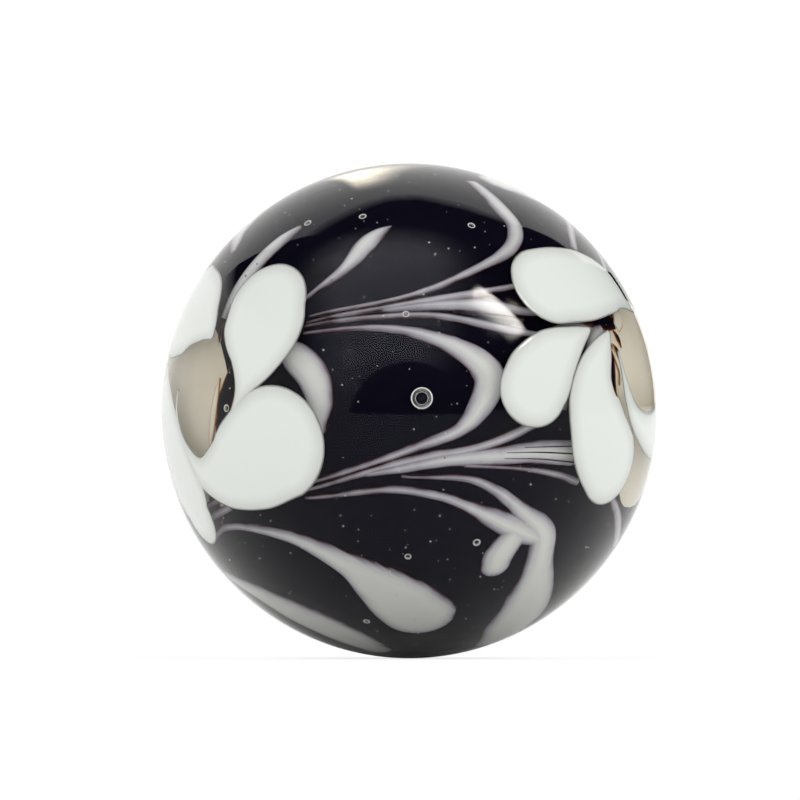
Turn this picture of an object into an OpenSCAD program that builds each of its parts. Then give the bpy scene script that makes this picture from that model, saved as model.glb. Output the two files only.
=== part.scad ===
// Glass marble: a pale glass ball with a black band round it, white strokes
// raked across the band, white petals round the band's two openings, and a
// clear coat over the whole. All the glasses are fused into one ball.
//
// Every place on the ball is written [east, up]: degrees to the right of the
// middle of the face (which looks along -Y), and degrees above the equator.

/* [Ball] */
// Diameter of the finished marble
ball_d = 30; // [24:0.5:45]
// Thickness of the black band
band_t = 0.8; // [0.4:0.1:2]
// Clearance kept between two glasses that are fused on the real marble
lay_gap = 0.05; // [0.02:0.01:0.06]

/* [Openings in the black band] */
// Width of the left opening, across the ball, in degrees
left_opening_angle = 50; // [40:1:56]
// Width of the right opening, across the ball, in degrees
right_opening_angle = 48; // [40:1:56]

/* [White strokes] */
// Thickness of the raked trails that lie on the band
trail_t = 0.35; // [0.2:0.05:0.6]
// Thickness of the petals, which are melted in flush with the ball
petal_t = 1; // [0.4:0.1:1.5]
// Clear glass between the trails and the petals above them
petal_float = 0.35; // [0.2:0.05:0.8]

/* [Bubble] */
// Diameter of the air bubble near the middle of the face
bubble_d = 1.2; // [0.4:0.1:1.3]

/* [Hidden] */
$fn = 96;

// Steps from one point of a trail, or of a petal, to the next
trail_steps = 3;
petal_steps = 2;
// Steps round the end of a stroke, and the half width from which it needs them
cap_steps = 4;
cap_from = 2;
// The smallest half width, in degrees, which blunts a tip
tip_w = 0.13;
// Chinks in and between the strokes of one spray run closed up to this width
chink = 0.06;

// The middle of each opening in the band
left_opening = [-75, -3];
right_opening = [82, 2];
// The middle of the bubble
bubble_at = [3, 3];

// The layers, from the outside in
ball_r = ball_d / 2;
petal_bottom = ball_r - petal_t;
trail_top = petal_bottom - petal_float;
trail_bottom = trail_top - trail_t;
band_top = trail_bottom - lay_gap;
band_bottom = band_top - band_t;

// Strokes: each point is [east, up, half width in degrees], from the tip to
// the middle of the round end. Strokes that run into each other, or nearly
// do, stand in one spray and are drawn on one plane.
LEFT_PETALS = [
    [
        [[-47.5, -3, 0.5], [-43.6, 2, 1.2], [-41.3, 6, 3.2], [-39.5, 11.5, 8],
            [-39.5, 18, 11.8], [-40, 25, 11.2]],
        [[-69, 5, 0.6], [-69.5, -1, 0.9], [-66, -8, 1.4], [-60, -14.2, 4],
            [-51.5, -15, 8.3], [-43, -12.3, 12], [-34, -7.8, 13.8]],
    ],
    [[[-56, 17, 0.6], [-60, 20, 4.8], [-67, 23, 10], [-78, 24, 12]]],
    [[[-82, 11, 0.8], [-81, 2, 4.5], [-77.5, -10, 7], [-74.5, -20, 7.2], [-71, -27, 5]]],
    [[[-98, -7, 0.6], [-103, -14, 4.2], [-107, -24, 8.6], [-108, -33, 9.6]]],
    [[[-97, 5, 0.6], [-105, 8, 4.8], [-116, 9, 9.8], [-127, 5, 11.4]]],
];
RIGHT_PETALS = [
    [[[82, 23.5, 0.5], [77, 25.6, 1.7], [70, 30, 6], [61, 32, 8.4], [51, 32.3, 9.9],
        [41, 31.8, 9.9]]],
    [[[51.5, 19.3, 0.5], [45, 16.6, 3.5], [38, 13.2, 7.2], [32.8, 8, 9.2],
        [31.2, 4.8, 9.3]]],
    [[[58, 18.3, 0.5], [54.5, 14, 2.6], [50.6, 8, 5.2], [49, 3, 7.2], [49.8, -2.5, 8.9],
        [52.3, -7.5, 10.6], [55.2, -11.3, 10.9]]],
    [[[59, 15, 0.5], [59.3, 9.5, 0.7], [61.3, 3.5, 1.3], [65.5, -1, 2.6],
        [74, -3.9, 4.3], [84, -3.6, 6.3], [90, -3, 6.5]]],
    [[[101, 15, 0.6], [107, 22, 4.8], [110, 32, 9.4], [108, 40, 9.8]]],
    [[[103, 4, 0.6], [112, 6, 4.6], [122, 5, 9], [132, 1, 10.6]]],
    [[[101, -13, 0.6], [108, -18, 4.4], [112, -27, 8.8], [111, -36, 9.2]]],
];
UPPER_SPRAY = [
    [[54, 72, 1.7], [47, 60, 2.5], [45, 51, 2.3], [37, 44, 2], [24, 38.5, 1.4],
        [7, 32, 1], [-8, 27.9, 0.8], [-28, 24, 0.4]],
    [[-29, 22.2, 0.4], [-8, 26.2, 0.8], [8.7, 28.8, 1.2], [20.7, 30.7, 1.1],
        [31, 32, 1.1]],
    [[-8, 25.6, 0.6], [3, 26.8, 1.2], [14, 27.2, 1.8], [24, 26.5, 1.8], [33, 25, 1.4]],
    [[-29, 21.4, 0.4], [-8, 24, 0.8], [6, 24.4, 0.9], [16.5, 22.7, 1.2],
        [25, 20.8, 1.4], [33, 19.2, 1.2]],
];
LOWER_SPRAY = [
    [[-29, 19.5, 0.4], [-7, 21, 1], [6, 18.5, 1.9], [15, 14.3, 3.2], [20.5, 9, 4.3],
        [19, 3, 3.6], [13, -4.5, 2], [1, -9.4, 1.2], [-29, -18.5, 0.5]],
    [[-29, -20, 0.6], [-8, -14.6, 1], [6, -11.3, 1.3], [14, -10, 1.2], [23, -7.4, 1.4],
        [30, -4.6, 1.4]],
    [[-12, -16, 0.8], [6, -12.9, 1.7], [13, -12, 1.9], [23.5, -11.2, 2.4],
        [33.5, -10.3, 2.9], [45, -10.4, 3.3]],
    [[14, -13.5, 0.8], [24, -14.1, 0.6], [32.5, -14.7, 0.8], [42, -16, 1],
        [49, -17.7, 1.1]],
    [[-2, -16.5, 0.4], [14.5, -17, 1], [24, -20.4, 1.5], [33, -26, 2.5],
        [42, -31.5, 3.8], [46.5, -41, 4.6], [54, -51.5, 7.2], [65, -61, 8.4], [80, -68, 6]],
    [[-29, -22, 0.6], [-7, -20, 1], [6, -21.3, 1.2], [15, -24, 1.6], [25, -28, 2.8],
        [34, -31, 3.4], [41, -33, 2.5]],
    [[34, -30, 3.4], [31, -34.5, 4], [29.3, -38.5, 3.8], [29.3, -41, 3.5]],
];
DROP_SPRAY = [
    [[-76, -33, 0.6], [-63, -29.5, 1], [-50, -30, 1.3], [-35, -33.5, 1.9],
        [-21, -40.8, 3.4], [-12.5, -47, 6], [-4.5, -53, 8.3], [4, -59, 8.9]],
    [[-76, -32, 0.4], [-69, -27, 1], [-56, -24, 1]],
    [[-73, -28, 0.4], [-68, -24, 0.8], [-60, -22, 0.8]],
];
LEAF = [
    [[-7, 52, 0.3], [-11.5, 49.2, 1.6], [-15.5, 45.5, 2.4], [-21, 37, 1.5],
        [-31, 28.5, 0.5]],
];
CRESCENT = [
    [[-34, 16.5, 2], [-29, 13.8, 3.2], [-24.2, 9.3, 3.4], [-21.8, 3, 2.8],
        [-22.5, -4, 1.6]],
];
LEFT_STREAK = [
    [[-47, 51.5, 0.5], [-52, 46.5, 1.8], [-55.5, 40, 2.4], [-58.5, 31, 2.1],
        [-60, 23, 1]],
];
LOW_DROP = [
    [[-86, -40, 0.8], [-72, -47, 2.6], [-62, -54.4, 4.4], [-53, -61.3, 5.1],
        [-46, -69, 5.2], [-43, -77, 3.8]],
];
RIGHT_STREAKS = [
    [[68, 42, 1.3], [75, 46, 1.5], [92, 50, 1.3]],
    [[72, 30, 1.3], [82, 36, 1.3], [95, 42, 1.3]],
];
LOW_RIGHT_STREAK = [
    [[62, -20, 0.8], [69, -23, 1.3], [78, -28, 1.7], [88, -33, 1.7]],
];

// The back of the band carries the same main strokes, turned half round and
// stretched to the greater distance between the openings there.
BOTH_SIDES = [UPPER_SPRAY, LOWER_SPRAY, DROP_SPRAY, LEAF, CRESCENT, LEFT_STREAK, LOW_DROP];
FACE_ONLY = [RIGHT_STREAKS, LOW_RIGHT_STREAK];
back_stretch = 1.2;

function round_the_back(spray) = [
    for (stroke = spray) [for (k = stroke) [180 - k[0] * back_stretch, -k[1], k[2]]]
];

SPRAYS = concat(BOTH_SIDES, FACE_ONLY, [for (spray = BOTH_SIDES) round_the_back(spray)]);

// ---- Directions on the ball ----

function toward(place) = [
    sin(place[0]) * cos(place[1]),
    -cos(place[0]) * cos(place[1]),
    sin(place[1])
];
function unit(v) = v / norm(v);
function total(list, i = 0) = i == len(list) - 1 ? list[i] : list[i] + total(list, i + 1);
function place_of(v) = [atan2(v[0], -v[1]), asin(v[2])];

// Where the line from the ball's middle through v meets a plane that faces a
// place, one unit out: [right, up].
function seen_from(place, v) = [
    v * [cos(place[0]), sin(place[0]), 0],
    v * [-sin(place[0]) * sin(place[1]), cos(place[0]) * sin(place[1]), cos(place[1])]
] / (v * toward(place));

// Stands its children on the ball at a place, with their Z pointing out.
module stand_at(place) {
    rotate([90 - place[1], 0, place[0]]) children();
}

// ---- Strokes: a list of stations, each [direction, half width] ----

function ahead(st, i) = unit(st[min(i + 1, len(st) - 1)][0] - st[max(i - 1, 0)][0]);
function end_side(st, i) = i == 0 ? -1 : i == len(st) - 1 ? 1 : 0;

// One point of a stroke's edge: side is 1 for the left, -1 for the right, and
// gap widens and lengthens the stroke all round.
function edge_point(st, i, side, gap, r) = unit(
    st[i][0]
    + side * cross(st[i][0], ahead(st, i)) * (tan(max(st[i][1], tip_w)) + gap / r)
    + end_side(st, i) * ahead(st, i) * gap / r
);
function outline(st, gap, r) = concat(
    [for (i = [0 : len(st) - 1]) edge_point(st, i, 1, gap, r)],
    [for (i = [len(st) - 1 : -1 : 0]) edge_point(st, i, -1, gap, r)]
);

// A stroke runs smoothly through all its points.
function through(a, b, c, d, t) = b + t / 2 * (
    c - a + t * (2 * a - 5 * b + 4 * c - d + t * (3 * (b - c) + d - a))
);
function knot(stroke, i) = concat(toward(stroke[i]), stroke[i][2]);
function knot_or_end(stroke, i) =
    i < 0 ? 2 * knot(stroke, 0) - knot(stroke, 1)
    : i >= len(stroke) ? 2 * knot(stroke, len(stroke) - 1) - knot(stroke, len(stroke) - 2)
    : knot(stroke, i);
function on_ball(q) = [unit([q[0], q[1], q[2]]), q[3]];

// The round end of a stroke, beyond its last station
function cap(last, onward) = [
    for (j = [1 : cap_steps]) let (turn = 90 * j / cap_steps, out = last[1] * sin(turn))
        [cos(out) * last[0] + sin(out) * onward, last[1] * cos(turn)]
];
function with_cap(st) =
    let (last = st[len(st) - 1], step = last[0] - st[len(st) - 2][0])
    last[1] < cap_from ? st : concat(st, cap(last, unit(step - (step * last[0]) * last[0])));
function stations(stroke, steps) = with_cap(concat(
    [for (i = [0 : len(stroke) - 2]) for (j = [0 : steps - 1])
        on_ball(through(
            knot_or_end(stroke, i - 1), knot(stroke, i), knot(stroke, i + 1),
            knot_or_end(stroke, i + 2), j / steps
        ))],
    [on_ball(knot(stroke, len(stroke) - 1))]
));

// The wedge of one or more strokes: it comes to a point at the middle of the
// ball, so that its sides stand square to every layer that it cuts.
module wedge(strokes, gap, r) {
    face = place_of(unit(total([for (st = strokes) total([for (q = st) q[0]]) / len(st)])));
    fill = chink / 2 * ball_d / r;
    stand_at(face) translate([0, 0, ball_d]) mirror([0, 0, 1]) linear_extrude(ball_d, scale = 0)
        offset(delta = -fill) offset(delta = fill)
            for (st = strokes) polygon([for (v = outline(st, gap, r)) ball_d * seen_from(face, v)]);
}

// ---- Layers ----

// An inner ball: its poles lie in the openings and its seam runs underneath,
// so no trail crosses them.
module inner_ball(r) {
    seam_tilt = 2.5;
    rotate([seam_tilt, 0, 0]) rotate([0, 90, 0]) sphere(r);
}

// An outer ball: its poles are the top and bottom and its seam runs up the
// middle of the back, so no petal crosses them.
module outer_ball(r) {
    rotate([0, 0, 90]) sphere(r);
}

// The space of the trails, widened all round by gap.
module trail_space(gap) {
    for (spray = SPRAYS) intersection() {
        difference() {
            inner_ball(trail_top + gap);
            inner_ball(trail_bottom - gap);
        }
        wedge([for (stroke = spray) stations(stroke, trail_steps)], gap, trail_top);
    }
}

// The space of the petals. A gap also opens it beyond the ball.
module petal_space(petals, gap) {
    for (spray = petals) intersection() {
        difference() {
            outer_ball(ball_r + gap);
            outer_ball(petal_bottom - gap);
        }
        wedge([for (stroke = spray) stations(stroke, petal_steps)], gap, ball_r);
    }
}

// The band's space: a thick shell, open at both ends of the ball. A gap makes
// the space deeper and its openings narrower.
module opening(place, angle, gap) {
    reach = ball_d;
    stand_at(place) cylinder(h = reach, r1 = 0, r2 = reach * tan(angle / 2 - gap / band_bottom * 180 / PI));
}

module band_space(gap) {
    difference() {
        inner_ball(band_top + gap);
        inner_ball(band_bottom - gap);
        opening(left_opening, left_opening_angle, gap);
        opening(right_opening, right_opening_angle, gap);
    }
}

// ---- The glasses ----

module glass_core() {
    color([0.76, 0.73, 0.66]) difference() {
        inner_ball(band_top);
        band_space(lay_gap);
    }
}

module black_band() {
    color([0.07, 0.06, 0.1]) band_space(0);
}

module trails() {
    color([0.72, 0.72, 0.73]) trail_space(0);
}

module left_petals() {
    color([0.89, 0.9, 0.88]) petal_space(LEFT_PETALS, 0);
}

module right_petals() {
    color([0.89, 0.9, 0.88]) petal_space(RIGHT_PETALS, 0);
}

module clear_coat() {
    bubble_mid = (ball_r + band_top) / 2;
    color([0.85, 0.88, 0.9, 0.25]) difference() {
        outer_ball(ball_r);
        inner_ball(band_top + lay_gap);
        trail_space(lay_gap);
        petal_space(LEFT_PETALS, lay_gap);
        petal_space(RIGHT_PETALS, lay_gap);
        stand_at(bubble_at) translate([0, 0, bubble_mid]) sphere(d = bubble_d);
    }
}

glass_core();
black_band();
trails();
left_petals();
right_petals();
clear_coat();
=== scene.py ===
"""Dresses the glass marble: the clear ball with its bubbles, the pale core,
the black band, the raked trails and the petals, on a plain pale floor."""

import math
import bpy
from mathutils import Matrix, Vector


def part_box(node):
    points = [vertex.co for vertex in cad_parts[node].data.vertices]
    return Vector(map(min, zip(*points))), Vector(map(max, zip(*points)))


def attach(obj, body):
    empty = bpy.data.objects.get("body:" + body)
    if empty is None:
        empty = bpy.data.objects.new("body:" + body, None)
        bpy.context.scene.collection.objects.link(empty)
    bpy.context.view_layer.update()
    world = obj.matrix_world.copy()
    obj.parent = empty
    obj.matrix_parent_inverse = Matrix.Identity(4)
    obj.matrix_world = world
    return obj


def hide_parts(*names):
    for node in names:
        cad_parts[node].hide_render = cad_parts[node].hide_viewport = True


bl_info = {
    "name": "Glass Marble",
    "version": (1, 0, 0),
    "blender": (4, 5, 0),
    "location": "View3D > Sidebar > Marble",
    "description": "Builds a lampworked glass marble around its measured model",
    "category": "Add Mesh",
}

import bpy
import numpy as np
from bpy.props import FloatProperty, FloatVectorProperty, IntProperty, PointerProperty
from bpy.types import Operator, Panel, PropertyGroup

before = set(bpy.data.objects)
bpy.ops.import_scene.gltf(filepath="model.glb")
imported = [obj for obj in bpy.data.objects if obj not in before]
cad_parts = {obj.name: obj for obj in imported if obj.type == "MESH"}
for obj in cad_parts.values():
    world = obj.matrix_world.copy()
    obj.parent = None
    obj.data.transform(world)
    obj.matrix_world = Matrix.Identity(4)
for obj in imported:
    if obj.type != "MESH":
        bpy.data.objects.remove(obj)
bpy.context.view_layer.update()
MM = 0.001
BALL_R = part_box("clear_coat")[1].z / MM
BAND_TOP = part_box("black_band")[1].z / MM
FLOOR_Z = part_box("clear_coat")[0].z

# Clearance between the band and the trails that lie on it, in mm.
LAY_GAP = 0.05
# Depths under the ball's skin, in mm: a bubble's middle, its bright rim, the
# shallowest seed, and how much deeper the deepest one may lie.
BUBBLE_DEPTH, RIM_DEPTH = 0.9, 0.8
SEED_DEPTH, SEED_SPREAD = 0.5, 0.7
# How near a seed may come to a petal, in mm.
SEED_TO_PETAL = 0.25
# Most seeds are drawn as grains of white, painted glints of tiny bubbles. For each of these many,
# about one more bubble is a hollow in the clear glass.
GRAINS_PER_HOLLOW = 12
# How far from the ball the cloths and the light panels hang, in mm.
CLOTH_REACH, PANEL_REACH = 1000, 950

# Every place on the ball is written [east, up]: degrees to the right of the
# middle of the face, which looks along -Y, and degrees above the equator.
# The openings of the band, left and right: middle, and width in degrees.
OPENINGS = (((-75, -3), 50), ((82, 2), 48))
BUBBLE_AT = (3, 3)
# The least half width of a stroke, which blunts its tip, and the half width
# from which its end is rounded, in degrees.
TIP_WIDTH, ROUND_FROM = 0.13, 2

# Strokes: each point is east, up, half width in degrees, from the tip to the
# middle of the round head.
LEFT_PETALS = [
    [(-47.5, -3, 0.5), (-44.6, 1, 1), (-42.4, 5, 2.7), (-40.6, 10, 6.6), (-39.8, 15, 10.2),
     (-39.6, 20, 11.8), (-40, 25, 11.3)],
    [(-69, 5, 0.6), (-69.5, -1, 0.9), (-66, -8, 1.4), (-60, -14.2, 4), (-51.5, -15, 8.3),
     (-43, -12.3, 12), (-34, -7.8, 13.8)],
    [(-56, 17, 0.6), (-60, 20, 4.8), (-67, 23, 10), (-78, 24, 12)],
    [(-82, 11, 0.8), (-79.8, 2, 6.8), (-75.4, -10, 10.2), (-71.6, -19, 10.6), (-70.4, -24.6, 8)],
    [(-98, -7, 0.6), (-103, -14, 4.2), (-107, -24, 8.6), (-108, -33, 9.6)],
    [(-97, 5, 0.6), (-105, 8, 4.8), (-116, 9, 9.8), (-127, 5, 11.4)],
]
RIGHT_PETALS = [
    [(82, 23.3, 0.5), (77, 25.2, 1.7), (70, 29.6, 6.4), (61, 31.3, 8.8), (51, 31.2, 10.1),
     (40.7, 30.5, 10.1)],
    [(50.5, 19.3, 0.5), (44, 16.7, 3.5), (37.4, 13, 7), (32.8, 8.5, 8.9), (30.4, 5, 9)],
    [(58, 18.6, 0.6), (54, 14.7, 3.3), (49.8, 9, 6), (48.5, 3, 8.5), (50, -2.5, 9.8),
     (52.5, -7.8, 10.6), (56.4, -11.8, 10.5)],
    [(60, 14, 0.5), (60.6, 9, 0.9), (62.4, 3, 1.9), (66.5, -2, 3.2), (74.5, -5, 4.9),
     (84, -5, 6.6), (90, -4.5, 6.6)],
    [(101, 15, 0.6), (107, 22, 4.8), (110, 32, 9.4), (108, 40, 9.8)],
    [(103, 4, 0.6), (112, 6, 4.6), (122, 5, 9), (132, 1, 10.6)],
    [(101, -13, 0.6), (108, -18, 4.4), (112, -27, 8.8), (111, -36, 9.2)],
]
UPPER_SPRAY = [
    [(54, 72, 1.7), (47, 60, 2.5), (45, 51, 2.3), (37, 44, 2), (24, 38.5, 1.4), (7, 32, 1),
     (-8, 27.9, 0.8), (-28, 24, 0.4)],
    [(-29, 22.2, 0.4), (-8, 26.2, 0.8), (8.7, 28.8, 1.2), (20.7, 30.7, 1.1), (30, 31.9, 1.1), (37, 33, 1)],
    [(-8, 25.6, 0.6), (3, 26.8, 1.2), (14, 27.2, 1.8), (24, 26.5, 1.8), (33, 25.2, 1.4), (41, 24.5, 1)],
    [(-29, 21.4, 0.4), (-8, 24, 0.8), (6, 24.4, 0.9), (16.5, 22.7, 1.2), (25, 20.8, 1.4),
     (33, 19.4, 1.1), (42, 18.8, 0.7)],
]
LOWER_SPRAY = [
    [(-29, 19.5, 0.4), (-7, 21, 1), (6, 18.5, 1.9), (15, 14.3, 3.2), (20.5, 9, 4.3),
     (19, 3, 3.6), (13, -4.5, 2), (1, -9.4, 1.2), (-29, -18.5, 0.5)],
    [(-29, -20, 0.6), (-8, -14.6, 1), (6, -11.3, 1.3), (14, -10, 1.2), (23, -7.4, 1.4),
     (30, -4.4, 1.4), (36, -1.6, 1.2)],
    [(-12, -16, 0.8), (6, -12.9, 1.7), (13, -12, 1.9), (23.5, -11.2, 2.4),
     (33.5, -10.3, 2.9), (45, -10.4, 3.3)],
    [(14, -13.5, 0.8), (24, -14.1, 0.6), (32.5, -14.7, 0.8), (42, -16, 1), (49, -17.7, 1.1)],
    [(-2, -16.5, 0.4), (14.5, -17, 1), (24, -20.4, 1.5), (33, -26, 2.5), (42, -31.5, 3.8),
     (46.5, -41, 4.6), (54, -51.5, 7.2), (65, -61, 8.4), (80, -68, 6)],
    [(-29, -22, 0.6), (-7, -20, 1), (6, -21.3, 1.2), (15, -24, 1.6), (25, -28, 2.8),
     (34, -31, 3.4), (41, -33, 2.5)],
    [(34, -30, 3.4), (31, -34.5, 4), (29.3, -38.5, 4.3), (29.3, -41, 4.1)],
]
DROP_SPRAY = [
    [(-76, -33, 0.6), (-63, -29.5, 1), (-50, -30, 1.3), (-35, -33.5, 2.2),
     (-21, -41, 4.1), (-12.5, -47.4, 6.8), (-4.5, -53.6, 9), (4, -59.6, 9.4)],
    [(-76, -32, 0.4), (-69, -27, 1), (-56, -24, 1)],
    [(-73, -28, 0.4), (-68, -24, 0.8), (-60, -22, 0.8)],
]
LEAF = [
    [(-7, 52, 0.3), (-11.5, 49.2, 2), (-15.5, 45, 2.9), (-21, 37, 1.7),
     (-31, 28.5, 0.5)],
]
CRESCENT = [
    [(-34, 15.8, 2.8), (-29.8, 13, 4.1), (-25.3, 8.9, 4.4), (-22.9, 2.8, 3.8), (-23.4, -4, 2.5)],
]
LEFT_STREAK = [
    [(-46, 51, 1), (-50.5, 46.5, 2.3), (-54, 40, 2.9), (-57, 31, 2.7), (-58.5, 23, 1.4)],
]
LOW_DROP = [
    [(-88, -41, 1.2), (-73, -49, 4.2), (-63, -56.6, 6.2), (-54, -63.5, 6.8),
     (-47, -71, 6.2), (-44, -78, 4.2)],
]
RIGHT_STREAKS = [
    [(68, 42, 1.3), (75, 46, 1.5), (92, 50, 1.3)],
    [(72, 30, 1.3), (82, 36, 1.3), (95, 42, 1.3)],
]
LOW_RIGHT_STREAK = [
    [(62, -20, 0.8), (69, -23, 1.3), (78, -28, 1.7), (88, -33, 1.7)],
]
BOTH_SIDES = UPPER_SPRAY + LOWER_SPRAY + DROP_SPRAY + LEAF + CRESCENT + LEFT_STREAK + LOW_DROP
BACK_STRETCH = 1.2
BACK = [[(180 - e * BACK_STRETCH, -u, w) for e, u, w in stroke] for stroke in BOTH_SIDES]

# Hairlines of black that the rake left open in the lower spray's sheet.
RAKE_LINES = [
    [(30, -9, 0.15), (38, -8.8, 0.22), (46, -8.6, 0.25)],
    [(25, -10.3, 0.15), (35, -10.2, 0.3), (46, -10.5, 0.35)],
    [(24.5, -11.8, 0.15), (35, -11.9, 0.22), (46, -12.7, 0.25)],
    [(12, 25.2, 0.15), (22, 24.2, 0.25), (32, 22.8, 0.3)],
]
# White strands that lie between the right petals.
BETWEEN_PETALS = [
    [(60.5, 20.4, 1.2), (55.4, 18.4, 2), (51.5, 14, 1), (46.4, 9.3, 1), (42.6, 4.6, 1.4), (41, 0.5, 1.6)],
    [(41, 21.1, 0.4), (47, 21.5, 1), (52, 21, 1.2), (57, 19.6, 1), (61, 19, 0.6)],
]
TRAILS = BOTH_SIDES + RIGHT_STREAKS + LOW_RIGHT_STREAK + BETWEEN_PETALS + BACK
# Stray bits of the band in the openings. Then the pale bits: a cream thread beside one
# on the left, and on the right cream bits that are a painted highlight of light glinting at the band's
# edge.
BLACK_BITS = [
    [(-49.5, 12.5, 0.4), (-50.2, 9, 2), (-51.4, 4, 3), (-53.2, -1, 2.4), (-55.5, -6, 0.8)],
    [(50, 22.9, 0.2), (54, 23.2, 1.6), (58, 23.4, 2.7), (63, 22.6, 3), (68, 21.6, 1.6)],
    [(62.3, 18, 0.8), (61.6, 14.5, 1.6), (60.6, 9.5, 1.8), (60.2, 6.3, 1.8), (61.2, 1.5, 1.6),
     (64.2, -2, 1.2), (68.2, -4.6, 0.5)],
    [(66, 19.8, 0.3), (67.3, 17.8, 0.9), (67.8, 15.4, 0.4)],
    [(63.8, 16.4, 0.3), (65.3, 14.4, 0.9), (65.6, 11.6, 0.4)],
    [(-58.2, 22, 0.3), (-58.5, 19.5, 0.8), (-57.5, 17, 0.4)],
    [(-72, -31, 1), (-67.5, -28.5, 2.2), (-64.6, -25.4, 2.8), (-62.8, -22, 2.2)],
]
PALE_BITS = [
    [(-54.8, 8, 0.3), (-55.8, 3, 1.1), (-57.4, -4, 1.2), (-59, -9, 0.6)],
    [(71.8, 25, 1.6), (71.2, 22.8, 2.3), (68.4, 20.4, 1.5)],
    [(62.4, 15.4, 0.3), (63.9, 12.4, 0.9), (64.8, 9.3, 0.8), (63.6, 6.2, 0.3)],
]
# Air bubbles that are large enough to count one by one: place, radius in mm.
BUBBLES = [
    ((-18.8, 53.3), 0.2), ((23.5, 49.9), 0.2), ((-0.9, 23.7), 0.17), ((19.5, -33.1), 0.2),
    ((-41.2, 50.6), 0.2), ((-0.4, -37.2), 0.17), ((-20.6, -60.1), 0.17), ((-49.1, 0.6), 0.2),
    ((170, 31), 0.2), ((148, -22), 0.17), ((205, 12), 0.2), ((190, -48), 0.17), ((228, 38), 0.17),
]
# A grain of white has six corners and eight faces.
GRAIN_CORNERS = np.array([[1, 0, 0], [-1, 0, 0], [0, 1, 0], [0, -1, 0], [0, 0, 1], [0, 0, -1]])
GRAIN_FACES = (
    (0, 2, 4), (2, 1, 4), (1, 3, 4), (3, 0, 4), (2, 0, 5), (1, 2, 5), (3, 1, 5), (0, 3, 5),
)

# Black cloths that only the shine sees, as shares of CLOTH_REACH: the dark
# ceiling, which ends behind the marble, and the dark wall at its right.
CEILING = [
    (-2, -6), (-1.8, 0), (-1.6, 1.2), (-1.4, 1.62), (-0.95, 0.8), (-0.6, 0.42), (-0.32, 0.5),
    (-0.1, 0.61), (0.05, 0.62), (0.2, 0.57), (0.4, 0.58), (0.58, 0.66), (0.9, 1.15), (3, 4), (6, -6),
]
WALL = [(-3, 0), (3.5, 0), (3.5, 0.7), (2.1, 0.74), (1.5, 0.84), (0.5, 1), (-3, 1)]
# Light panels that only the shine sees: the bright opening behind the marble,
# and the strip window at its upper right with its soft glow. Each is given by
# the middles of its two ends, its width, how soft its left side, right side
# and ends are, as shares of its width or length, its strength and its colour.
LIGHT_PANELS = (
    ("back_opening", (-0.12, 0.62, 0.77), (-0.03, 0.97, 0.24),
     0.15, (0.6, 0.15, 0.3), 4.2, "#fff3dc"),
    ("strip_window", (0.40, -0.43, 0.80), (0.75, -0.445, 0.49),
     0.24, (0.6, 0.15, 0.12), 70.0, "#fffaf2"),
    ("strip_glow", (0.34, -0.52, 0.78), (0.67, -0.56, 0.50),
     0.2, (0.9, 0.1, 0.3), 16.0, "#e8f0f4"),
    ("window_glow", (0.62, -0.33, 0.72), (0.72, -0.27, 0.63),
     0.12, (0.5, 0.5, 0.4), 18.0, "#fff0d8"),
    ("grey_window", (-0.09, 0.12, 0.98), (-0.18, -0.98, 0.12),
     1.15, (0.3, 0.3, 0.25), 2.9, "#f4f5fa"),
)

# ---------------------------------------------------------------- directions


def toward(east, up):
    """Unit direction from the middle of the ball to a place on it."""
    e, u = np.radians(east), np.radians(up)
    return np.stack([np.sin(e) * np.cos(u), -np.cos(e) * np.cos(u), np.sin(u) + 0 * e], axis=-1)


def unit(v):
    """The same direction, one unit long."""
    return v / np.linalg.norm(v, axis=-1, keepdims=True)


def degrees_from(place, directions):
    """Angle in degrees between a place on the ball and each direction."""
    return np.degrees(np.arccos(np.clip(directions @ toward(*place), -1, 1)))


def stations(stroke, per_span=10, cap_rows=12):
    """Stations along a stroke: directions, half widths in radians, and how far
    each stands beyond the middle of the round head."""
    knots = np.array([[*toward(e, u), math.radians(w)] for e, u, w in stroke])
    knots = np.vstack([2 * knots[0] - knots[1], knots, 2 * knots[-1] - knots[-2]])
    out = []
    for i in range(1, len(knots) - 2):
        a, b, c, d = knots[i - 1 : i + 3]
        for t in np.arange(per_span) / per_span:
            bend = 2 * a - 5 * b + 4 * c - d + t * (3 * (b - c) + d - a)
            out.append(b + t / 2 * (c - a + t * bend))
    out = np.array([*out, knots[-2]])
    spine, half = unit(out[:, :3]), np.maximum(out[:, 3], math.radians(TIP_WIDTH))
    lead = np.zeros(len(half))
    if half[-1] > math.radians(ROUND_FROM):
        step = spine[-1] - spine[-2]
        onward = unit(step - (step @ spine[-1]) * spine[-1])
        turn = np.linspace(0, math.pi / 2, cap_rows + 1)[1:]
        beyond = half[-1] * np.sin(turn)
        round_end = np.cos(beyond)[:, None] * spine[-1] + np.sin(beyond)[:, None] * onward
        spine = np.vstack([spine, round_end])
        lead = np.concatenate([lead, beyond])
        half = np.concatenate([half, half[-1] * np.cos(turn) + 1e-4])
    return spine, half, lead


def near_a_petal(spot, petals):
    """Whether a seed's place is under a petal, or too close to its edge."""
    for spine, half, _ in petals:
        clear = (np.arccos(np.clip(spine @ spot, -1, 1)) - half) * BALL_R
        if np.min(clear) < SEED_TO_PETAL:
            return True
    return False


# -------------------------------------------------------------------- meshes


def mesh_object(name, points_mm, faces, values=None):
    """A smooth mesh piece from points in mm, with named values kept at its points."""
    mesh = bpy.data.meshes.new(name)
    mesh.from_pydata((np.asarray(points_mm) * MM).tolist(), [], faces)
    mesh.validate()
    for key, data in (values or {}).items():
        layer = mesh.attributes.new(key, "FLOAT", "POINT")
        layer.data.foreach_set("value", np.asarray(data, np.float32))
    mesh.shade_smooth()
    piece = bpy.data.objects.new(name, mesh)
    bpy.context.scene.collection.objects.link(piece)
    return piece


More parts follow.
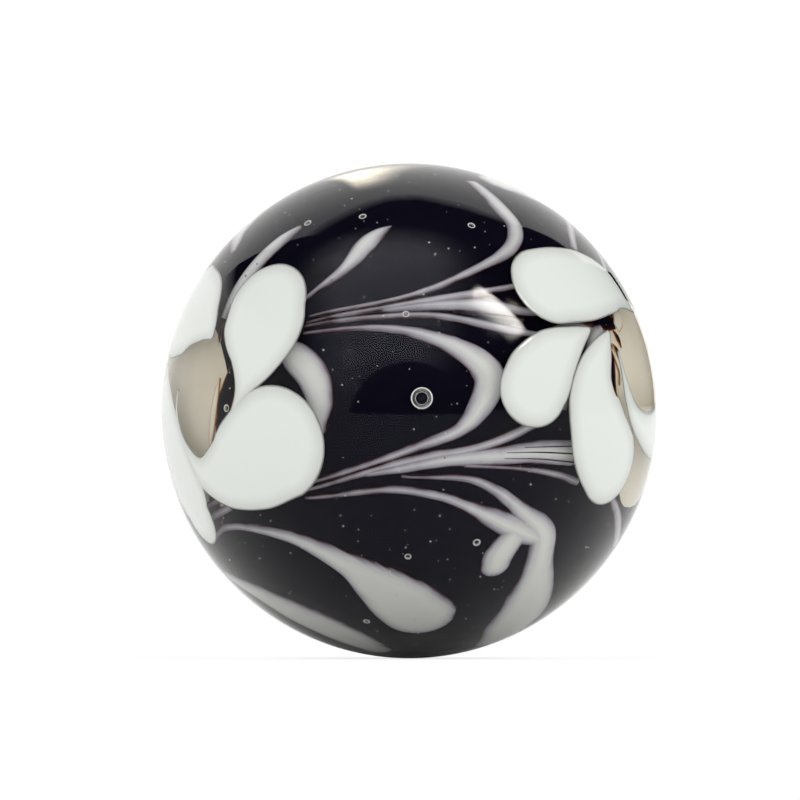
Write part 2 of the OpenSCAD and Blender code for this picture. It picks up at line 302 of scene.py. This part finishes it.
def grid_faces(rows, cols, start=0, wrap=False):
    """Faces of a grid of points, row by row. wrap joins the last column to the first."""
    r, c = np.meshgrid(np.arange(rows - 1), np.arange(cols if wrap else cols - 1), indexing="ij")
    n = (c + 1) % cols
    quads = np.stack([r * cols + c, r * cols + n, (r + 1) * cols + n, (r + 1) * cols + c], axis=-1)
    return (quads.reshape(-1, 4) + start).tolist()


def ball_faces(rows, cols, start=0):
    """Faces of a ball: a wrapped grid between two poles, whose points come after
    the grid's, the first row's pole first."""
    end = start + rows * cols
    faces = grid_faces(rows, cols, start, wrap=True)
    faces += [[end, start + (j + 1) % cols, start + j] for j in range(cols)]
    last = end - cols
    faces += [[end + 1, last + j, last + (j + 1) % cols] for j in range(cols)]
    return faces


def laid_stroke(stroke, floor_r, top_r, thin_mm, belly_mm=0.02, columns=17):
    """A stroke of glass laid on a ball. Its top stands at top_r in the middle and
    rounds down to floor_r over thin_mm at its edges, and its underside bellies
    down by belly_mm. Returns points, faces and, at each point, its depth in from
    the edge and its place across and along the stroke, all in mm."""
    spine, half, lead = stations(stroke)
    side = np.cross(spine, unit(np.gradient(spine, axis=0)))
    u = np.sin(np.linspace(-math.pi / 2, math.pi / 2, columns))
    lateral = half[:, None] * u
    run = np.concatenate([[0], np.cumsum(np.linalg.norm(np.diff(spine, axis=0), axis=1))])
    head = half[lead == 0][-1]
    inside = np.where(
        lead[:, None] > 0, head - np.hypot(lead[:, None], lateral), half[:, None] - np.abs(lateral)
    )
    depth = np.minimum(np.clip(inside, 0, None), run[:, None] + 0.002) * top_r
    round_off = np.sqrt(np.clip(1 - (1 - np.clip(depth / thin_mm, 0, 1)) ** 2, 0, 1))
    direction = unit(spine[:, None] + np.tan(lateral)[..., None] * side[:, None])
    # A narrow part, less than 2 mm to its edge, is shallower in proportion.
    belly = np.sin(np.clip(depth / (belly_mm + 0.3), 0, 1) * math.pi / 2)
    belly = belly * np.clip(half[:, None] * top_r / 2, 0.3, 1)
    top = direction * (floor_r + (top_r - floor_r) * round_off)[..., None]
    bottom = direction * (floor_r - 0.01 - belly_mm * belly)[..., None]
    rows = len(spine)
    n = rows * columns
    faces = grid_faces(rows, columns) + [f[::-1] for f in grid_faces(rows, columns, n)]
    rim = (
        [i * columns for i in range(rows)]
        + [(rows - 1) * columns + j for j in range(1, columns)]
        + [i * columns + columns - 1 for i in range(rows - 2, -1, -1)]
        + [j for j in range(columns - 2, 0, -1)]
    )
    faces += [[b, a, a + n, b + n] for a, b in zip(rim, rim[1:] + rim[:1])]
    along = (run[:, None] + 0 * u) * top_r
    values = np.stack([depth, lateral * top_r, along], axis=-1).reshape(-1, 3)
    points = np.concatenate([top.reshape(-1, 3), bottom.reshape(-1, 3)])
    return points, faces, np.concatenate([values, values])


def stroke_piece(name, parts):
    """One mesh piece of several laid strokes, with their depth, across and along."""
    points, faces, values, start = [], [], [], 0
    for part_points, part_faces, part_values in parts:
        points.append(part_points)
        faces += [[i + start for i in face] for face in part_faces]
        values.append(part_values)
        start += len(part_points)
    depth, across, along = np.concatenate(values).T
    named = {"depth": depth, "across": across, "along": along}
    return mesh_object(name, np.concatenate(points), faces, named)


def band_grid(around=240, across=90):
    """Directions over the band, from the edge of the left opening to the edge of
    the right one, and each point's distance in mm from the nearer edge."""
    phi = np.linspace(0, 2 * math.pi, around, endpoint=False)
    edges = []
    for (place, angle), sign in zip(OPENINGS, (1, -1)):
        c = toward(*place)
        a, b = -c[0], c[1] * np.cos(phi) + c[2] * np.sin(phi)
        # The melted edge wanders in and out by a few hundredths of its reach.
        wave = 1 + 0.035 * np.sin(3 * phi + 1.1) + 0.025 * np.sin(5 * phi + sign) + 0.012 * np.sin(11 * phi)
        reach = math.radians(angle / 2) * wave
        middle = np.mod(np.arctan2(b, a) + 1, 2 * math.pi) - 1
        edges.append(middle + sign * np.arccos(np.cos(reach) / np.hypot(a, b)))
    v = (1 - np.cos(np.linspace(0, math.pi, across))) / 2
    theta = edges[0][:, None] * (1 - v) + edges[1][:, None] * v
    away = np.minimum(theta - edges[0][:, None], edges[1][:, None] - theta) * BAND_TOP
    ct, st = np.cos(theta), np.sin(theta)
    d = np.stack([-ct, st * np.cos(phi)[:, None], st * np.sin(phi)[:, None]], axis=-1)
    return d, away


# ----------------------------------------------------------------- materials


def linear(hex_colour):
    """sRGB hex to the linear colour that a shader takes."""
    rgb = [int(hex_colour[i : i + 2], 16) / 255 for i in (1, 3, 5)]
    return [c / 12.92 if c <= 0.04045 else ((c + 0.055) / 1.055) ** 2.4 for c in rgb] + [1.0]


def new_material(name):
    """An empty material and its node tree."""
    material = bpy.data.materials.new(name)
    material.use_nodes = True
    material.node_tree.nodes.clear()
    return material, material.node_tree


def add(tree, kind, inputs=None, stops=(), **settings):
    """Adds a node. inputs maps a socket to a value, or to the output that feeds it.
    stops are a colour ramp's colours, each (place, hex colour)."""
    node = tree.nodes.new("ShaderNode" + kind)
    for key, value in settings.items():
        setattr(node, key, value)
    for socket, value in (inputs or {}).items():
        if isinstance(value, bpy.types.NodeSocket):
            tree.links.new(value, node.inputs[socket])
        else:
            node.inputs[socket].default_value = value
    if stops:
        elements = node.color_ramp.elements
        while len(elements) > 1:
            elements.remove(elements[-1])
        elements[0].position, elements[0].color = stops[0][0], linear(stops[0][1])
        for place, colour in stops[1:]:
            elements.new(place).color = linear(colour)
    return node


def noise_mm(tree, size_mm, detail=2.0):
    """Noise whose patches are about size_mm across, in the marble's own space."""
    where = add(tree, "TexCoord").outputs["Object"]
    scale = 1 / (size_mm * MM)
    return add(tree, "TexNoise", {"Vector": where, "Scale": scale, "Detail": detail}).outputs["Fac"]


def clear_glass():
    # Soft soda-lime lampworking glass, fire polished: clear, colourless and
    # bright, with the faint waves that a flame leaves.
    material, tree = new_material("clear_soda_lime_glass")
    tint = add(tree, "ValToRGB", {"Fac": noise_mm(tree, 6)}, [(0.3, "#fdfdfb"), (0.7, "#ffffff")])
    wave = add(tree, "Bump", {"Strength": 0.02, "Distance": 0.0002, "Height": noise_mm(tree, 5, 1.0)})
    shader = add(tree, "BsdfPrincipled", {
        "Base Color": tint.outputs["Color"], "Roughness": 0.0, "IOR": 1.5, "Transmission Weight": 1.0,
        "Specular Tint": (0.2, 0.2, 0.2, 1.0), "Normal": wave.outputs["Normal"],
    })
    add(tree, "OutputMaterial", {"Surface": shader.outputs["BSDF"]})
    return material


def shifted(tree, value, noise, reach):
    """A value moved up and down by a noise, by `reach` at most."""
    shift = add(tree, "MapRange", {
        "Value": noise, "From Min": 0.25, "From Max": 0.75, "To Min": -reach, "To Max": reach,
    })
    return add(tree, "Math", {0: value, 1: shift.outputs["Result"]}, operation="ADD").outputs["Value"]


def matt_inside(tree, colour, roughness):
    """Glass that is fused under more glass, so it has no shine of its own."""
    shader = add(tree, "BsdfPrincipled", {
        "Base Color": colour, "Roughness": roughness, "Specular IOR Level": 0.0,
    })
    add(tree, "OutputMaterial", {"Surface": shader.outputs["BSDF"]})


def white_glass():
    # Opal white rod, laid in drops and melted flush: dense and milky, with a fire-polished shine.
    # It goes greyer towards its edge, partly because the drop thins there and partly as painted
    # shade where the rounded edge turns from the light.
    material, tree = new_material("opal_white_glass")
    depth = add(tree, "Attribute", attribute_name="depth").outputs["Fac"]
    depth = shifted(tree, depth, noise_mm(tree, 2.5), 0.08)
    # Painted shade: besides the real thinning, the ramp darkens the petal towards its edge.
    colour = add(tree, "ValToRGB", {"Fac": depth}, [
        (0.0, "#9a9a96"), (0.07, "#b5b7b4"), (0.2, "#c6c9c6"), (0.6, "#d2d6d3"), (1.2, "#dadedb"),
    ])
    shader = add(tree, "BsdfPrincipled", {
        "Base Color": colour.outputs["Color"], "Roughness": 0.06, "IOR": 1.5,
        "Specular Tint": (0.2, 0.2, 0.2, 1.0),
    })
    add(tree, "OutputMaterial", {"Surface": shader.outputs["BSDF"]})
    return material


def trail_glass():
    # The same white rod raked thin over black: translucent, so it goes from a
    # red-brown hairline through violet grey to white where it is thickest, and
    # the rake leaves fine lines along it, about 0.15 mm apart.
    material, tree = new_material("raked_white_glass")
    depth, across, along = [
        add(tree, "Attribute", attribute_name=name).outputs["Fac"] for name in ("depth", "across", "along")
    ]
    along = add(tree, "Math", {0: along, 1: 0.06}, operation="MULTIPLY")
    across = add(tree, "Math", {0: across, 1: 1.6}, operation="MULTIPLY")
    where = add(tree, "CombineXYZ", {"X": across.outputs["Value"], "Y": along.outputs["Value"]})
    lines = add(tree, "TexNoise", {"Vector": where.outputs["Vector"], "Scale": 2.0, "Detail": 3.0})
    depth = shifted(tree, depth, lines.outputs["Fac"], 0.08)
    depth = shifted(tree, depth, noise_mm(tree, 1.2), 0.05)
    colour = add(tree, "ValToRGB", {"Fac": depth}, [
        (0.0, "#2a1412"), (0.03, "#5a4244"), (0.09, "#938b97"), (0.2, "#bcb9c3"), (0.38, "#dfe0e2"),
        (0.7, "#f3f5f1"), (1.0, "#f9faf7"),
    ])
    matt_inside(tree, colour.outputs["Color"], 0.4)
    return material


def black_glass():
    # Intense black glass, which is really a very dense violet: it goes brown
    # and then honey coloured in the last third of a millimetre of its edge.
    material, tree = new_material("dense_violet_black_glass")
    edge = add(tree, "Attribute", attribute_name="depth").outputs["Fac"]
    edge = shifted(tree, edge, noise_mm(tree, 0.7), 0.08)
    colour = add(tree, "ValToRGB", {"Fac": edge}, [
        (0.0, "#d9a468"), (0.035, "#94562c"), (0.09, "#4e2a20"), (0.2, "#1c1318"), (0.45, "#100f1c"),
    ])
    matt_inside(tree, colour.outputs["Color"], 0.3)
    return material


def hairline_glass():
    # A hair of the black ground that shows between two raked threads.
    material, tree = new_material("black_ground_hairline")
    colour = add(tree, "ValToRGB", {"Fac": noise_mm(tree, 0.8)}, [(0.3, "#3a2c32"), (0.7, "#5c4c54")])
    matt_inside(tree, colour.outputs["Color"], 0.4)
    return material


def pale_glass():
    # The core, a pale warm grey glass seen at both openings, clouded a little.
    material, tree = new_material("pale_grey_core_glass")
    cloud = add(tree, "ValToRGB", {"Fac": noise_mm(tree, 4)}, [(0.3, "#efe6d2"), (0.7, "#faf3e2")])
    matt_inside(tree, cloud.outputs["Color"], 0.3)
    return material


def cream_glass():
    # Honey and cream bits laid over the band: on the left a thread of the core's glass, on the
    # right a painted highlight of light that glints at the band's edge in the clear glass.
    material, tree = new_material("cream_glass_and_painted_glint")
    depth = add(tree, "Attribute", attribute_name="depth").outputs["Fac"]
    colour = add(tree, "ValToRGB", {"Fac": depth}, [
        (0.0, "#a8763c"), (0.05, "#e6c896"), (0.16, "#fbf5e8"),
    ])
    matt_inside(tree, colour.outputs["Color"], 0.3)
    return material


def rim_glint():
    # A white ring at the wall of an air bubble: a painted reflection of the light that the
    # wall turns back. The seeds' grains of white use it as painted glints.
    material, tree = new_material("bubble_rim_painted_reflection")
    colour = add(tree, "ValToRGB", {"Fac": noise_mm(tree, 0.3)}, [(0.3, "#f2f2ee"), (0.7, "#ffffff")])
    matt_inside(tree, colour.outputs["Color"], 0.4)
    return material


def light_panel(name, colour, strength):
    # A lit sheet of diffusing plastic, a little uneven, which fades at its sides.
    material, tree = new_material("lit_diffuser_" + name)
    patchy = add(tree, "MapRange", {
        "Value": noise_mm(tree, 120), "To Min": strength * 0.6, "To Max": strength * 1.4,
    })
    fade = add(tree, "Attribute", attribute_name="glow").outputs["Fac"]
    glow = add(tree, "Math", {0: patchy.outputs["Result"], 1: fade}, operation="MULTIPLY")
    light = add(tree, "Emission", {"Color": linear(colour), "Strength": glow.outputs["Value"]})
    # It lets through what is behind it, so that its soft sides don't turn dark.
    clear = add(tree, "BsdfTransparent")
    both = add(tree, "AddShader", {0: clear.outputs["BSDF"], 1: light.outputs["Emission"]})
    add(tree, "OutputMaterial", {"Surface": both.outputs["Shader"]})
    return material


def black_cloth():
    # Black studio cloth, dull, whose weave thins out to nothing at its edge.
    material, tree = new_material("black_studio_cloth")
    colour = add(tree, "ValToRGB", {"Fac": noise_mm(tree, 5)}, [(0.3, "#020202"), (0.7, "#040404")])
    weave = add(tree, "BsdfPrincipled", {
        "Base Color": colour.outputs["Color"], "Roughness": 1.0, "Specular IOR Level": 0.0,
    })
    cover = add(tree, "Attribute", attribute_name="cover").outputs["Fac"]
    clear = add(tree, "BsdfTransparent")
    mix = add(tree, "MixShader", {"Fac": cover, 1: clear.outputs["BSDF"], 2: weave.outputs["BSDF"]})
    add(tree, "OutputMaterial", {"Surface": mix.outputs["Shader"]})
    return material


def floor_board():
    # A plain matt white board with a very fine paper tooth.
    material, tree = new_material("matt_white_board")
    colour = add(tree, "ValToRGB", {"Fac": noise_mm(tree, 1.5)}, [(0.3, "#fbfbfa"), (0.7, "#fdfdfc")])
    board = add(tree, "BsdfPrincipled", {
        "Base Color": colour.outputs["Color"], "Roughness": 0.9, "Specular IOR Level": 0.0,
    })
    white = add(tree, "Emission", {"Color": linear("#ffffff"), "Strength": 1.0})
    path = add(tree, "LightPath")
    seen = add(tree, "Math", {
        0: path.outputs["Is Glossy Ray"], 1: path.outputs["Is Transmission Ray"],
    }, operation="MAXIMUM")
    # The white takes over away from the marble, so its shadow stays under it.
    where = add(tree, "TexCoord").outputs["Object"]
    away = add(tree, "VectorMath", {0: where}, operation="LENGTH").outputs["Value"]
    shine = add(tree, "MapRange", {"Value": away, "From Min": 0.016, "From Max": 0.05, "To Max": 0.9})
    plain = add(tree, "MapRange", {"Value": away, "From Min": 0.005, "From Max": 0.018, "To Max": 0.95})
    shine = add(tree, "Math", {0: seen.outputs["Value"], 1: shine.outputs["Result"]}, operation="MULTIPLY")
    plain = add(tree, "Math", {
        0: path.outputs["Is Camera Ray"], 1: plain.outputs["Result"],
    }, operation="MULTIPLY")
    share = add(tree, "Math", {0: shine.outputs["Value"], 1: plain.outputs["Value"]}, operation="MAXIMUM")
    mix = add(tree, "MixShader", {
        "Fac": share.outputs["Value"], 1: board.outputs["BSDF"], 2: white.outputs["Emission"],
    })
    add(tree, "OutputMaterial", {"Surface": mix.outputs["Shader"]})
    return material


# --------------------------------------------------------------------- stage


def shine_only(card):
    """Keeps a studio card on the stage, where only reflections see it."""
    card.visible_camera = card.visible_diffuse = card.visible_transmission = False
    card.visible_shadow = card.visible_volume_scatter = False


def lay_floor():
    """The pale floor that the ball stands on."""
    reach, cells = 5000.0, 40
    x, y = np.meshgrid(*[np.linspace(-reach, reach, cells)] * 2, indexing="xy")
    z = np.full_like(x, FLOOR_Z / MM)
    floor = mesh_object("floor", np.stack([x, y, z], axis=-1).reshape(-1, 3), grid_faces(cells, cells))
    floor.data.materials.append(floor_board())


def light_tent(room_colour):
    """The white room, a little brighter from the right and from above."""
    world = bpy.data.worlds.new("light_tent")
    world.use_nodes = True
    tree = world.node_tree
    tree.nodes.clear()
    way = add(tree, "SeparateXYZ", {"Vector": add(tree, "TexCoord").outputs["Generated"]})
    side = add(tree, "Math", {0: way.outputs["X"], 1: 0.12, 2: 1.09}, operation="MULTIPLY_ADD")
    level = add(tree, "Math", {
        0: way.outputs["Z"], 1: 0.09, 2: side.outputs["Value"],
    }, operation="MULTIPLY_ADD")
    back = add(tree, "Background", {"Color": [*room_colour, 1.0], "Strength": level.outputs["Value"]})
    add(tree, "OutputWorld", {"Surface": back.outputs["Background"]})
    return world


def hang_cloths():
    """The black cloths: ceiling, wall, and the dark round the camera. Each is its
    outline and a smaller one, drawn in toward a middle, and thins out between."""
    cloth, reach = black_cloth(), CLOTH_REACH
    turns = np.linspace(0, 2 * math.pi, 48, endpoint=False)
    hood = [(0.31 * math.cos(a), 0.33 * math.sin(a)) for a in turns]
    # In mm: how far the hood stands before the marble, and below its middle.
    hood_at, hood_drop = 560, 90
    for name, outline, middle, thin in (
        ("dark_ceiling", [(x * reach, y * reach, reach) for x, y in CEILING], (0, -400, reach), 0.15),
        ("dark_wall", [(reach, y * reach, z * reach + FLOOR_Z / MM + 1) for y, z in WALL], None, 0.06),
        ("dark_hood", [(x * reach, -hood_at, z * reach - hood_drop) for x, z in hood], None, 0.06),
    ):
        outer = np.array(outline, dtype=float)
        n = len(outer)
        middle = outer.mean(axis=0) if middle is None else np.array(middle)
        inner = outer + (middle - outer) * thin
        faces = [[j, (j + 1) % n, n + (j + 1) % n, n + j] for j in range(n)] + [list(range(n, 2 * n))]
        cover = [0.0] * n + [1.0] * n
        card = mesh_object(name, np.concatenate([outer, inner]), faces, {"cover": cover})
        card.data.materials.append(cloth)
        shine_only(card)


def hang_light_panels():
    """The light panels, each a sheet whose glow fades at its sides and ends."""
    cells = 25
    u, v = np.meshgrid(np.linspace(0, 1, cells), np.linspace(0, 1, cells), indexing="xy")
    for name, near, far, width, (left, right, ends), strength, colour in LIGHT_PANELS:
        near, far = unit(np.array(near)), unit(np.array(far))
        aside = unit(np.cross(near, far)) * width
        sheet = near + (far - near) * v[..., None] + aside * (u - 0.5)[..., None]
        glow = np.clip(u / left, 0, 1) * np.clip((1 - u) / right, 0, 1)
        glow = glow * np.clip(v / ends, 0, 1) * np.clip((1 - v) / ends, 0, 1)
        points, glow = sheet.reshape(-1, 3) * PANEL_REACH, glow.reshape(-1) ** 1.5
        card = mesh_object(name, points, grid_faces(cells, cells), {"glow": glow})
        card.data.materials.append(light_panel(name, colour, strength))
        shine_only(card)


def set_camera(scene, distance):
    """The camera, level with the ball's middle and square to its face."""
    camera = bpy.data.objects.new("camera", bpy.data.cameras.new("camera"))
    camera.location = (0, -distance, 0)
    camera.rotation_euler = (math.pi / 2, 0, 0)
    # The share of the frame that the ball's outline fills.
    sensor, fill = 36.0, 0.619
    outline = math.tan(math.asin(BALL_R * MM / distance))
    camera.data.sensor_width = sensor
    camera.data.lens = sensor * fill / (2 * outline)
    camera.data.shift_x, camera.data.shift_y = -0.0116, 0.0134
    camera.data.clip_start = 0.01
    scene.collection.objects.link(camera)
    return camera


# ---------------------------------------------------------------- properties


class MarbleSizes(PropertyGroup):
    petal_thickness: FloatProperty(
        name="Petal thickness", description="Depth of a petal in the clear coat, in mm",
        default=1.0, min=0.3, max=1.5)
    petal_edge: FloatProperty(
        name="Petal edge", description="How far in from its edge a petal thins, in mm",
        default=0.25, min=0.05, max=0.6)
    trail_thickness: FloatProperty(
        name="Trail thickness", description="Depth of the widest raked trail, in mm",
        default=0.35, min=0.1, max=0.6)
    bubble: FloatProperty(
        name="Bubble", description="Diameter of the large bubble, in mm",
        default=1.2, min=0.4, max=1.3)
    seeds: IntProperty(
        name="Seeds", description="How many tiny bubbles the clear coat holds",
        default=760, min=0, max=1200)


class MarbleStage(PropertyGroup):
    camera_distance: FloatProperty(
        name="Camera distance", description="From the middle of the ball to the camera",
        default=1.8, unit="LENGTH")
    room_colour: FloatVectorProperty(
        name="Room colour", description="Colour of the light tent round the marble",
        subtype="COLOR", size=3, default=(1.0, 0.995, 0.98), min=0.0, max=1.0)


# ----------------------------------------------------------------- operators


def finish_piece(piece, material, node):
    """Gives a piece its glass, and stands it in for a node of the measured model."""
    piece.data.materials.append(material)
    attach(piece, "root")
    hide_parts(node)


class MARBLE_OT_core(Operator):
    """Builds the pale core, which shows at both openings of the band"""

    bl_idname = "marble.core"
    bl_label = "Core"

    def execute(self, context):
        rows, cols = 96, 192
        theta = np.linspace(0, math.pi, rows)[1:-1, None]
        phi = np.linspace(0, 2 * math.pi, cols, endpoint=False)[None, :]
        across, up = np.sin(theta) * np.cos(phi), np.sin(theta) * np.sin(phi)
        d = np.stack([-np.cos(theta) + 0 * phi, across, up], axis=-1)
        # In the openings it stands almost as high as the band, with a soft
        # swell. From window_rim degrees beyond them it sinks under the band.
        window_r, window_rim, sink_depth = BAND_TOP - 0.04, 4, 0.75
        under = np.min([degrees_from(place, d) - angle / 2 for place, angle in OPENINGS], axis=0)
        sink = 0.5 + 0.5 * np.tanh((under - window_rim) / 1.5)
        swell = 0.03 * np.sin(5 * d[..., 1] + 3 * d[..., 2])
        r = window_r + swell * (1 - sink) - sink_depth * sink
        poles = [[-window_r, 0, 0], [window_r, 0, 0]]
        points = np.concatenate([(d * r[..., None]).reshape(-1, 3), poles])
        piece = mesh_object("pale_core", points, ball_faces(rows - 2, cols))
        finish_piece(piece, pale_glass(), "glass_core")
        return {"FINISHED"}


class MARBLE_OT_band(Operator):
    """Builds the black band, a thick shell that is open at both ends of the ball"""

    bl_idname = "marble.band"
    bl_label = "Black band"

    def execute(self, context):
        d, away = band_grid()
        d, away = d.transpose(1, 0, 2), away.T
        rows, cols = away.shape
        # Its edge rounds down over lip_width to a lip that is lip_drop lower.
        shell, lip_width, lip_drop = 0.55, 0.5, 0.175
        lip = lip_drop * (1 - np.clip(away / lip_width, 0, 1)) ** 2
        top = d * (BAND_TOP - lip)[..., None]
        bottom = d * (BAND_TOP - shell)
        points = np.concatenate([top.reshape(-1, 3), bottom.reshape(-1, 3)])
        n = rows * cols
        faces = grid_faces(rows, cols, wrap=True)
        faces += [f[::-1] for f in grid_faces(rows, cols, n, wrap=True)]
        for j in range(cols):
            k = (j + 1) % cols
            faces.append([k, j, j + n, k + n])
            faces.append([n - cols + j, n - cols + k, 2 * n - cols + k, 2 * n - cols + j])
        value = np.concatenate([away.reshape(-1), away.reshape(-1)])
        piece = mesh_object("black_band_shell", points, faces, {"depth": value})
        finish_piece(piece, black_glass(), "black_band")
        return {"FINISHED"}


class MARBLE_OT_trails(Operator):
    """Builds the raked trails that lie on the band, and the stray bits in the openings"""

    bl_idname = "marble.trails"
    bl_label = "Raked trails"

    def execute(self, context):
        # How far in from its edge a trail, or a stray bit, rounds down, in mm.
        trail_edge, bit_edge = 0.9, 0.05
        floor_r = BAND_TOP + LAY_GAP
        top_r = floor_r + context.scene.marble_sizes.trail_thickness
        parts = [laid_stroke(stroke, floor_r, top_r, trail_edge) for stroke in TRAILS]
        finish_piece(stroke_piece("raked_trails", parts), trail_glass(), "trails")
        for name, strokes, material, rise, slot in (
            ("stray_black_bits", BLACK_BITS, black_glass(), 0.04, "black_glass"),
            ("rake_lines", RAKE_LINES, hairline_glass(), 0.42, "black_glass"),
            # The cream bits on the right are painted highlights at the band's edge.
            ("cream_threads_and_painted_glints", PALE_BITS, cream_glass(), 0.1, "pale_glass"),
        ):
            parts = [laid_stroke(stroke, BAND_TOP, BAND_TOP + rise, bit_edge) for stroke in strokes]
            finish_piece(stroke_piece(name, parts), material, "black_band")
        return {"FINISHED"}


class MARBLE_OT_petals(Operator):
    """Builds the white petals round both openings, flush with the ball"""

    bl_idname = "marble.petals"
    bl_label = "Petals"

    def execute(self, context):
        sizes = context.scene.marble_sizes
        edge, belly = sizes.petal_edge, sizes.petal_thickness
        # A petal stands a hair proud of the ball, so that it covers the clear skin.
        floor_r, top_r = BALL_R - 0.04, BALL_R + 0.012
        material = white_glass()
        for side, petals in (("left", LEFT_PETALS), ("right", RIGHT_PETALS)):
            parts = [laid_stroke(petal, floor_r, top_r, edge, belly, columns=33) for petal in petals]
            piece = stroke_piece(side + "_petal_ring", parts)
            finish_piece(piece, material, side + "_petals")
        return {"FINISHED"}


class MARBLE_OT_coat(Operator):
    """Builds the clear ball over everything, with its bubble and seeds inside"""

    bl_idname = "marble.coat"
    bl_label = "Clear coat"

    def execute(self, context):
        sizes = context.scene.marble_sizes
        rows, cols = 150, 300
        up = np.linspace(-90, 90, rows)[1:-1, None]
        east = np.linspace(0, 360, cols, endpoint=False)[None, :]
        d = toward(east, up)
        points = [(d * BALL_R).reshape(-1, 3), [[0, 0, -BALL_R], [0, 0, BALL_R]]]
        faces = ball_faces(rows - 2, cols)
        start = (rows - 2) * cols + 2
        # Each bubble: direction, distance of its middle, radius and cuts round it.
        middle_r = BALL_R - BUBBLE_DEPTH
        bubbles = [(toward(*BUBBLE_AT), middle_r, sizes.bubble / 2, 24)]
        bubbles += [(toward(*place), middle_r, radius, 16) for place, radius in BUBBLES]
        rng = np.random.default_rng(7)
        petals = [stations(petal) for petal in LEFT_PETALS + RIGHT_PETALS]
        while len(bubbles) <= sizes.seeds // GRAINS_PER_HOLLOW:
            spot = unit(rng.normal(size=3))
            radius = 0.03 + 0.06 * rng.random() ** 2
            depth = SEED_DEPTH + SEED_SPREAD * rng.random()
            if not near_a_petal(spot, petals):
                bubbles.append((spot, BALL_R - depth, radius, 8))
        for spot, r, radius, cuts in bubbles:
            up = np.linspace(-90, 90, cuts // 2 + 1)[1:-1, None]
            east = np.linspace(0, 360, cuts, endpoint=False)[None, :]
            wall = toward(east, up).reshape(-1, 3) * radius + spot * r
            points += [wall, [spot * r + [0, 0, -radius], spot * r + [0, 0, radius]]]
            faces += [f[::-1] for f in ball_faces(cuts // 2 - 1, cuts, start)]
            start += len(wall) + 2
        piece = mesh_object("clear_ball", np.concatenate(points), faces)
        finish_piece(piece, clear_glass(), "clear_coat")
        return {"FINISHED"}


class MARBLE_OT_bubbles(Operator):
    """Builds the bright rims of the air bubbles, painted reflections, and the tiny seeds round them, grains
    of white that are painted glints
    """

    bl_idname = "marble.bubbles"
    bl_label = "Bubble rims"

    def execute(self, context):
        sizes = context.scene.marble_sizes
        # Each rim is a white ring, a painted reflection at a bubble's wall.
        # Each rim: place, radius, half its thickness, and steps round it.
        rims = [(BUBBLE_AT, sizes.bubble / 2, 0.05, 48)]
        rims += [(place, radius, 0.03, 20) for place, radius in BUBBLES]
        sides = 8
        points, faces, start = [], [], 0
        for place, radius, wire, around in rims:
            out = toward(*place)
            right = unit(np.cross([0, 0, 1], out))
            up = np.cross(out, right)
            a = np.linspace(0, 2 * math.pi, around, endpoint=False)[:, None, None]
            b = np.linspace(0, 2 * math.pi, sides, endpoint=False)[None, :, None]
            spoke = np.cos(a) * right + np.sin(a) * up
            ring = out * (BALL_R - RIM_DEPTH) + spoke * (radius + wire * np.cos(b)) + out * wire * np.sin(b)
            points.append(ring.reshape(-1, 3))
            for i in range(around):
                here, ahead = start + i * sides, start + (i + 1) % around * sides
                for j in range(sides):
                    n = (j + 1) % sides
                    faces.append([here + j, ahead + j, ahead + n, here + n])
            start += around * sides
        # Seeds too small to show a rim: each is drawn as a grain of white, a painted glint.
        rng = np.random.default_rng(11)
        petals = [stations(petal) for petal in LEFT_PETALS + RIGHT_PETALS]
        grains = 0
        while grains < sizes.seeds:
            spot = unit(rng.normal(size=3))
            size = 0.026 + 0.045 * rng.random() ** 3
            if near_a_petal(spot, petals):
                continue
            r = BALL_R - SEED_DEPTH - SEED_SPREAD * rng.random()
            points.append(GRAIN_CORNERS * size + spot * r)
            faces += [[start + corner for corner in face] for face in GRAIN_FACES]
            start += len(GRAIN_CORNERS)
            grains += 1
        piece = mesh_object("bubble_rims", np.concatenate(points), faces)
        finish_piece(piece, rim_glint(), "clear_coat")
        return {"FINISHED"}


class MARBLE_OT_stage(Operator):
    """Sets the pale floor, the light tent, the cloths and light panels, and the camera"""

    bl_idname = "marble.stage"
    bl_label = "Stage"

    def execute(self, context):
        scene, stage = context.scene, context.scene.marble_stage
        lay_floor()
        scene.world = light_tent(stage.room_colour)
        hang_cloths()
        hang_light_panels()
        scene.camera = set_camera(scene, stage.camera_distance)
        scene.view_settings.view_transform = "Standard"
        # Light goes to and fro many times between milky glass and the ball's skin.
        scene.cycles.max_bounces = 24
        scene.cycles.diffuse_bounces = 12
        scene.cycles.glossy_bounces = 12
        return {"FINISHED"}


class MARBLE_PT_panel(Panel):
    """Lists the marble's sizes and builders"""

    bl_label = "Glass Marble"
    bl_idname = "MARBLE_PT_panel"
    bl_space_type = "VIEW_3D"
    bl_region_type = "UI"
    bl_category = "Marble"

    def draw(self, context):
        for group in (context.scene.marble_sizes, context.scene.marble_stage):
            for key in group.__annotations__:
                self.layout.prop(group, key)
        for operator in OPERATORS:
            self.layout.operator(operator.bl_idname)


OPERATORS = (
    MARBLE_OT_stage, MARBLE_OT_core, MARBLE_OT_band, MARBLE_OT_trails, MARBLE_OT_petals, MARBLE_OT_coat,
    MARBLE_OT_bubbles,
)
CLASSES = (MarbleSizes, MarbleStage, *OPERATORS, MARBLE_PT_panel)


def register():
    for cls in CLASSES:
        bpy.utils.register_class(cls)
    bpy.types.Scene.marble_sizes = PointerProperty(type=MarbleSizes)
    bpy.types.Scene.marble_stage = PointerProperty(type=MarbleStage)


def unregister():
    del bpy.types.Scene.marble_stage
    del bpy.types.Scene.marble_sizes
    for cls in reversed(CLASSES):
        bpy.utils.unregister_class(cls)


def main():
    register()
    bpy.ops.marble.stage()
    bpy.ops.marble.core()
    bpy.ops.marble.band()
    bpy.ops.marble.trails()
    bpy.ops.marble.petals()
    bpy.ops.marble.coat()
    bpy.ops.marble.bubbles()


if __name__ == "__main__":
    main()
